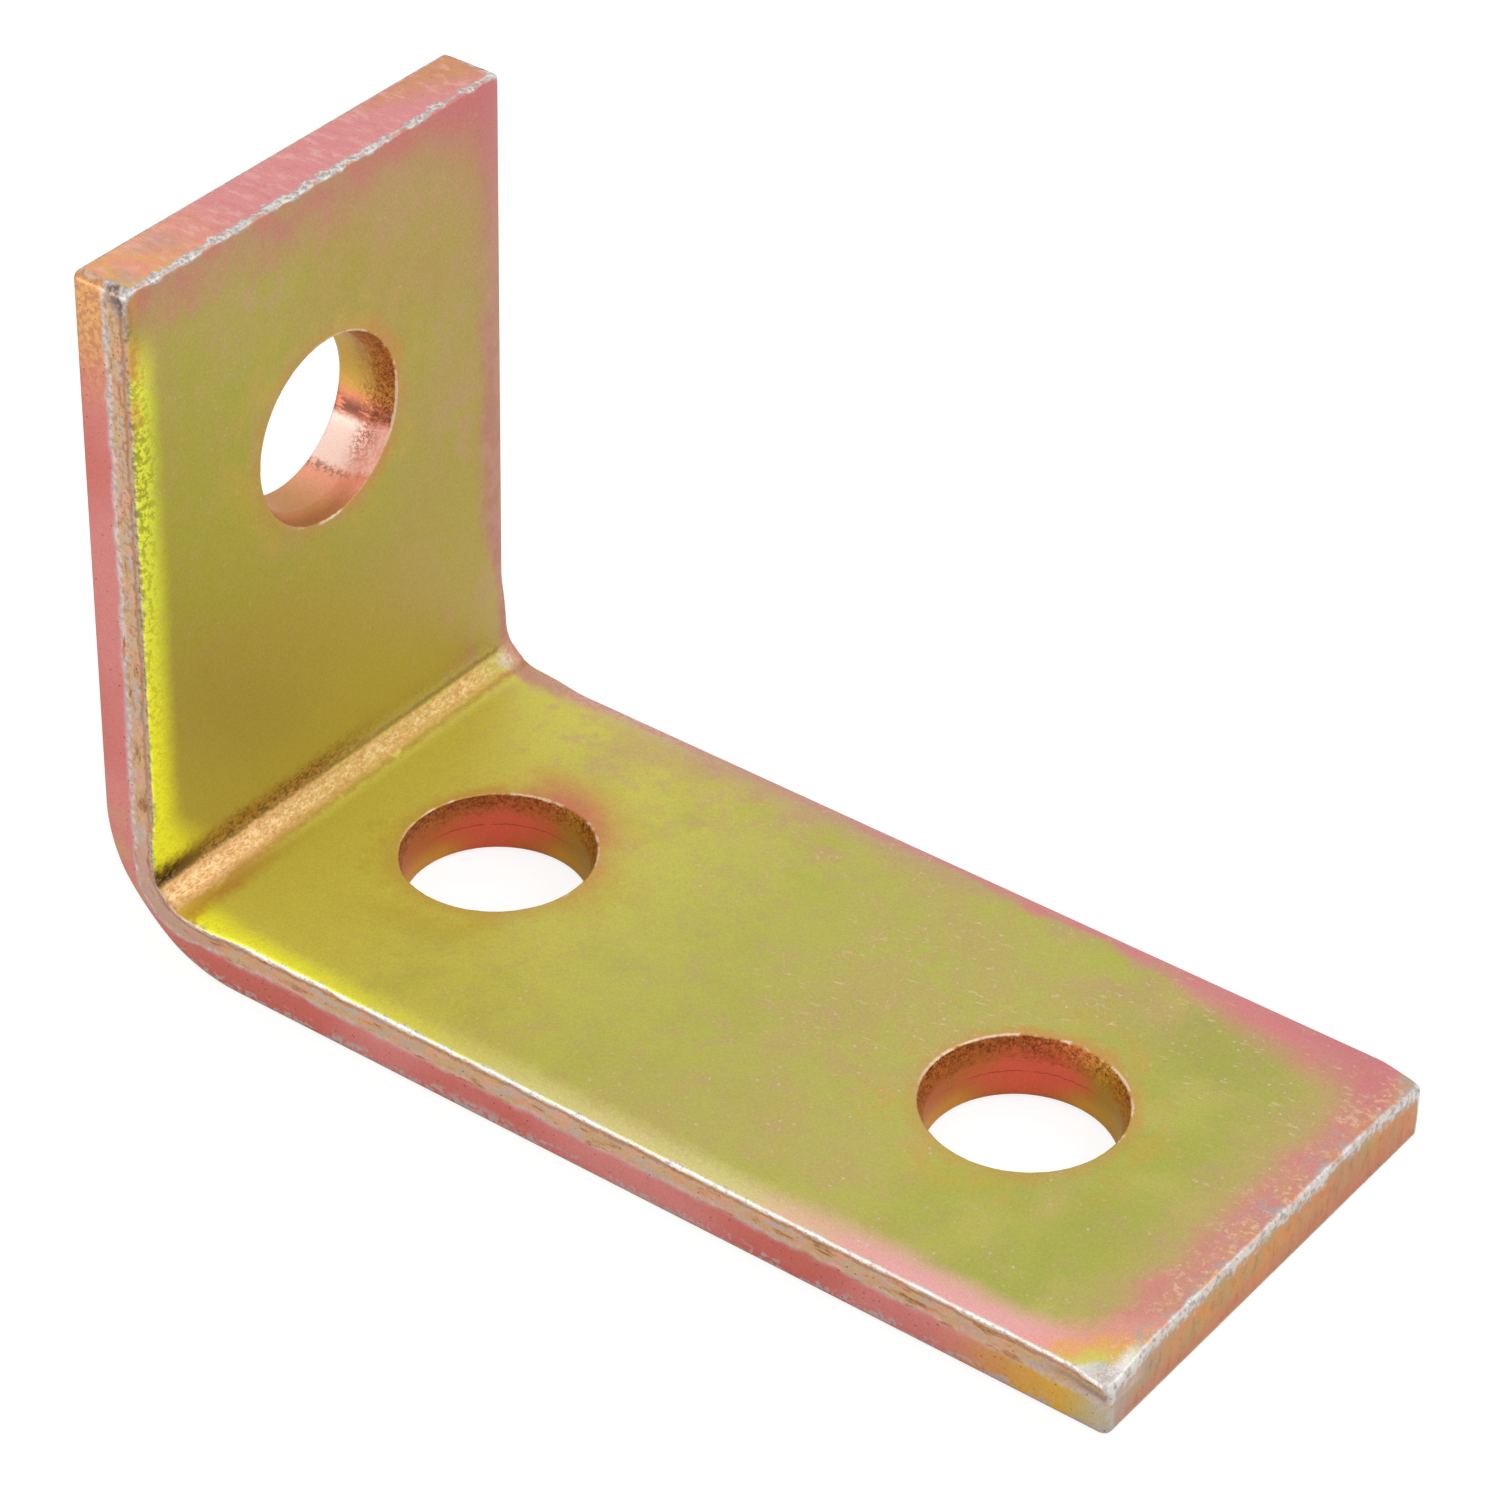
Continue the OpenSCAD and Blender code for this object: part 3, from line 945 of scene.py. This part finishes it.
# free ends: pink or orange, with streaks along the shear
def paintEnds(graph, place, along, across, end, cloud, patchy, fine, wobble, near, headward, pits,
              **others):
    streak = graph.noise(graph.scaled(place, 1.0, 1.0, 0.45), 1.3, 3.0, 0.65)
    mottled = graph.mix((patchy * 0.6 + fine * 0.4).rise(0.42, 0.58), "headSalmon", "headGold")
    mottled = graph.mix(cloud.rise(0.52, 0.64, 0.7), mottled, "headGrey")
    headEnd = graph.mix((across + wobble * 3).fall(-18, -6), "headPink", mottled)
    headEnd = graph.mix((across * 0.5 - end + wobble).rise(7.5, 12, 0.75), headEnd, "headBackEdge")
    tailEnd = graph.mix((patchy * 0.6 + fine * 0.4).rise(0.42, 0.6), "tailOrange", "tailOlive")
    tailEnd = graph.mix(across.rise(0, 10) * cloud.rise(0.36, 0.5, 0.4), tailEnd, "tailRed")
    tailEnd = graph.mix((across + wobble * 2).fall(-18, -9, 0.55), tailEnd, "tailGrey")
    tailEnd = graph.mix((-end + wobble).rise(2.6, 4.6, 0.7), tailEnd, "tailBackEdge")
    butt = graph.mix(headward, tailEnd, headEnd)
    lightStreak = graph.mix(headward, "tailStreak", "headStreak")
    darkStreak = graph.mix(headward, "brown", "headStreakDark")
    butt = graph.mix(streak.rise(0.5, 0.66, 0.4), butt, lightStreak)
    butt = graph.mix(streak.fall(0.34, 0.46, 0.3), butt, darkStreak)
    edgeOn = (-end + (streak - 0.5) * 3.0 + (patchy - 0.5) * 2).fall(0.2, 1.3 - headward * 0.9)
    butt = graph.mix(edgeOn * 0.85, butt, graph.mix(fine.rise(0.42, 0.58), "grey", "silver"))
    rubbedTip = (near + wobble * 0.5).fall(0.4, 3.4) * along.rise(60, 61, 0.7)
    butt = graph.mix(rubbedTip, butt, "tailCornerGrey")
    butt = graph.mix(pits * 0.4, butt, "brown")
    return butt


# hole walls: rough broken-out mouth with painted glints, then a burnished land; red on the far side of the
# base holes, copper with a pale band of painted highlight and dark lines of painted reflection in the
# upright's
def paintWalls(graph, across, bore, cloud, patchy, fine, grain, grit, tremble, headward, forward,
               **others):
    sunk = -bore
    behind = across * 0.116 - forward * 0.587
    speckle = grit * 0.6 + grain * 0.4
    land = graph.mix(forward.rise(-0.3, 0.4), "wallOrange", "wallBrass")
    reddened = (behind + (cloud - 0.5) * 0.8 - abs(sunk - 2.8) * 0.1).rise(0.6, 0.97)
    land = graph.mix(reddened, land, "wallRed")
    brightened = (sunk - behind * 0.9).rise(2.2, 4.2) * behind.fall(0.75, 1.0, 0.75)
    land = graph.mix(brightened, land, "wallBright")
    land = graph.mix(forward.rise(0.1, 0.8) * sunk.rise(2.0, 3.6, 0.6), land, "wallLime")
    ring = (sunk + tremble * 0.25).near(2.9, 0.09) * patchy.rise(0.4, 0.52) * behind.rise(0.5, 0.9)
    land = graph.mix(ring * 0.55, land, "wallRing")
    turn = (forward + (fine - 0.5) * 0.06).atLeast(across.fall(-1.0, 1.0))
    drawn = graph.mix(turn.fall(-0.25, 0.2), "wallStraw", "wallOlive")
    drawn = graph.mix(turn.rise(0.1, 0.3), drawn, "wallCopper")
    # painted highlight: the pale peach band on the upright hole's wall
    drawn = graph.mix(turn.rise(0.42, 0.52), drawn, "peachHighlight")
    drawn = graph.mix((turn + (patchy - 0.5) * 0.05).rise(0.84, 0.92), drawn, "wallSalmon")
    drawn = graph.mix((turn - across * 0.02).rise(0.9, 1.05), drawn, "wallApricot")
    # painted reflection: dark streaks beside the pale band, where the wall mirrors dark surroundings
    lines = graph.noise(graph.vector(turn * 30, sunk * 0.5, 0.0), 1.0, 1.0)
    lines = turn.near(0.38, 0.15) * lines.rise(0.36, 0.5)
    lines = lines.atLeast(turn.near(0.89, 0.04) * grit.rise(0.44, 0.56, 0.7))
    drawn = graph.mix(lines * 0.85, drawn, "wallDarkReflection")
    flecked = sunk.fall(1.0, 3.0) * turn.rise(0.3, 0.5) * across.rise(-1.0, 4.0)
    drawn = graph.mix(flecked * (0.3 + speckle.rise(0.46, 0.56, 0.4)), drawn, "wallCoral")
    crazed = abs(fine - 0.5).fall(0.02, 0.07) * sunk.near(1.7, 1.5) * turn.near(0.58, 0.34)
    drawn = graph.mix(crazed * 0.75, drawn, "crazing")
    drawn = graph.mix(across.fall(-1.5, 4.0) * turn.rise(0.5, 0.7, 0.8), drawn, "wallHoney")
    shaded = sunk.fall(0.3, 1.6) * turn.rise(0.8, 1.0) * across.fall(1.0, 4.0, 0.6)
    drawn = graph.mix(shaded, drawn, "wallUmber")
    land = graph.mix(headward, land, drawn)
    mouth = graph.mix(speckle.rise(0.4, 0.56), "mouthDark", graph.mix(0.5, land, "wallGold"))
    # painted highlight: bright glints on the broken grain of the mouth
    mouth = graph.mix(speckle.rise(0.56, 0.66, 0.6), mouth, "mouthGlint")
    mouth = graph.mix(behind.rise(0.6, 0.95, 0.4), mouth, "mouthRed")
    deep = 2.3 + headward * turn.near(0.1, 0.6, 2.0)
    broken = ((sunk + tremble * 2.0) / deep).fall(0.1, 1.0) * (1 - headward * turn.rise(0.2, 0.5, 0.93))
    wall = graph.mix(broken * 0.95, land, mouth)
    return wall


# bare worn metal along the sheared edges and at the corners, in darker greys on the upright as painted
# shade, and a painted highlight at the near corner of the tail end
def wearEdges(graph, paint, along, across, side, end, bore, patchy, fine, grain, lengthwise, tremble,
              near, toTail, headward, facing, forward, **others):
    ragged = tremble * 0.35 + (lengthwise - 0.5) * 0.7
    worn = (abs(side + 0.1) + ragged).fall(0.05, 0.32) * (0.6 + along.rise(52, 70, 0.4))
    wornEnd = (abs(end + 0.1) + tremble * 0.5 + (patchy - 0.5) * 0.8).fall(0.08, 0.5 - headward * 0.18)
    corner = (abs(end) + abs(side) + tremble * 0.8).fall(0.6, 1.3)
    bare = worn.atLeast(wornEnd).atLeast(corner) * facing.atLeast(0.25)
    # painted shade: the bare metal on the upright's edges takes darker greys than on the base
    uprightEdgeShade = along.fall(52, 62) * end.rise(1.0, 3.0)
    dull = graph.mix(uprightEdgeShade, "grey", "dullEdgeShaded")
    bright = graph.mix(uprightEdgeShade, "silver", "brightEdgeShaded")
    metal = graph.mix((fine + along.rise(52, 66, 0.05)).rise(0.36, 0.62), dull, bright)
    paint = graph.mix(bare, paint, metal)
    # painted highlight: a white glint on the inner face at the near corner of the tail end
    facetGlint = (toTail + tremble * 0.6).near(0.5, 0.8) * (near + tremble).near(2.6, 2.4) * facing
    paint = graph.mix(facetGlint * 0.8, paint, "facetGlint")
    lip = (abs(bore + 0.02) + tremble * 0.2).fall(0.02, 0.15) * patchy.rise(0.44, 0.54)
    lip = lip * (across + abs(forward) * 3).rise(-3.0, 4.0)
    paint = graph.mix(lip * 0.8 * facing, paint, "lip")
    paint = graph.mix(1.0, paint, graph.vector(*[0.82 + grain * 0.36] * 3), "MULTIPLY")
    return paint


# yellow zinc, laid out on the flat bar: every width and place in it is in mm
def zincMaterial():
    material = bpy.data.materials.new("yellowZinc")
    material.use_nodes = True
    material.node_tree.nodes.clear()
    graph = Graph(material.node_tree)
    spot = readSpot(graph)
    shared = vars(spot)
    face = paintFaces(graph, **shared)
    for layer in (paintRims, paintGlow, paintCorners, paintHalos, paintBend, paintScratches):
        face = layer(graph, face, **shared)
    onFlank = spot.side.fall(-0.1, 0.06) * spot.depth.rise(0.02, 0.12)
    onButt = spot.end.fall(-0.1, 0.06) * spot.depth.rise(0.02, 0.12)
    onWall = spot.bore.fall(-0.12, 0.04) * spot.depth.rise(0.02, 0.15)
    paint = graph.mix(onFlank, face, paintSide(graph, **shared))
    paint = graph.mix(onButt, paint, paintEnds(graph, **shared))
    paint = graph.mix(onWall, paint, paintWalls(graph, **shared))
    paint = wearEdges(graph, paint, **shared)

    # bump height: fine grain, coarser on the strip, on broken metal and on the worn band
    onStrip = spot.along.near(bend["stripAt"] / mm, 1.6)
    coarse = onStrip.atLeast(spot.bore.near(-0.8, 1.0)).atLeast(spot.side.near(-1.0, 1.4))
    relief = spot.grain * 0.25 + spot.fine * (coarse * 1.4 + 0.1)
    settings = {"Strength": zinc["bump"], "Distance": 0.1 * mm, "Height": relief}
    bump = graph.node("ShaderNodeBump", {}, settings)
    shader = graph.node("ShaderNodeBsdfPrincipled", {}, {
        "Base Color": paint, "Metallic": zinc["metallic"], "Normal": bump,
        "Roughness": zinc["roughness"] + (spot.fine - 0.5) * 0.12})
    graph.node("ShaderNodeOutputMaterial", {}, [shader])
    return material


bracket = foldedBar(zincMaterial())
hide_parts("angle_bracket")
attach(bracket, "root")
print("bracket folded:", len(bracket.data.polygons), "faces")

studio = {
    "floorColor": (0.86, 0.86, 0.86, 1.0),
    "floorGlow": 0.84,
    "floorShade": 0.24,
    "skyHorizon": (0.72, 0.72, 0.73, 1.0),
    "skyTop": (1.0, 1.0, 0.99, 1.0),
    "lights": [
        {"place": Vector((-0.35, -0.62, 0.06)), "size": (0.5, 0.12), "power": 1.6},
        {"place": Vector((0.5, 0.35, 0.6)), "size": (0.5, 0.5), "power": 1.2}
    ]
}


def makeStudio():
    scene = bpy.context.scene
    scene.view_settings.view_transform = "Standard"
    bpy.ops.mesh.primitive_plane_add(size=6.0, location=(0, 0, low.z - 0.0002))
    floor = bpy.context.object
    floor.name = "floor"
    material = bpy.data.materials.new("paleFloor")
    material.use_nodes = True
    material.node_tree.nodes.clear()
    graph = Graph(material.node_tree)
    toCamera = graph.node("ShaderNodeLightPath")
    paper = graph.node("ShaderNodeBsdfDiffuse", {}, {"Color": studio["floorColor"]})
    shade = [studio["floorShade"]] * 3 + [1.0]
    seen = graph.node("ShaderNodeAddShader", {}, [
        graph.node("ShaderNodeBsdfDiffuse", {}, {"Color": shade}),
        graph.node("ShaderNodeEmission", {}, {"Strength": studio["floorGlow"]})])
    whole = graph.node("ShaderNodeMixShader", {}, [toCamera, paper, seen])
    graph.node("ShaderNodeOutputMaterial", {}, [whole])
    floor.data.materials.append(material)
    world = bpy.data.worlds.new("studio")
    scene.world = world
    world.use_nodes = True
    world.node_tree.nodes.clear()
    graph = Graph(world.node_tree)
    height = graph.parts(graph.node("ShaderNodeTexCoord"))[2]
    sky = graph.mix(height.rise(0.0, 0.9), studio["skyHorizon"][:3], studio["skyTop"][:3])
    glow = graph.node("ShaderNodeBackground", {}, {"Color": sky, "Strength": 1.0})
    graph.node("ShaderNodeOutputWorld", {}, [glow])
    for lamp in studio["lights"]:
        data = bpy.data.lights.new("softbox", "AREA")
        data.shape = "RECTANGLE"
        data.size, data.size_y = lamp["size"]
        data.energy = lamp["power"]
        light = bpy.data.objects.new("softbox", data)
        light.location = lamp["place"]
        light.rotation_euler = (-lamp["place"]).to_track_quat("-Z", "Y").to_euler()
        scene.collection.objects.link(light)


makeStudio()
print("studio lit")
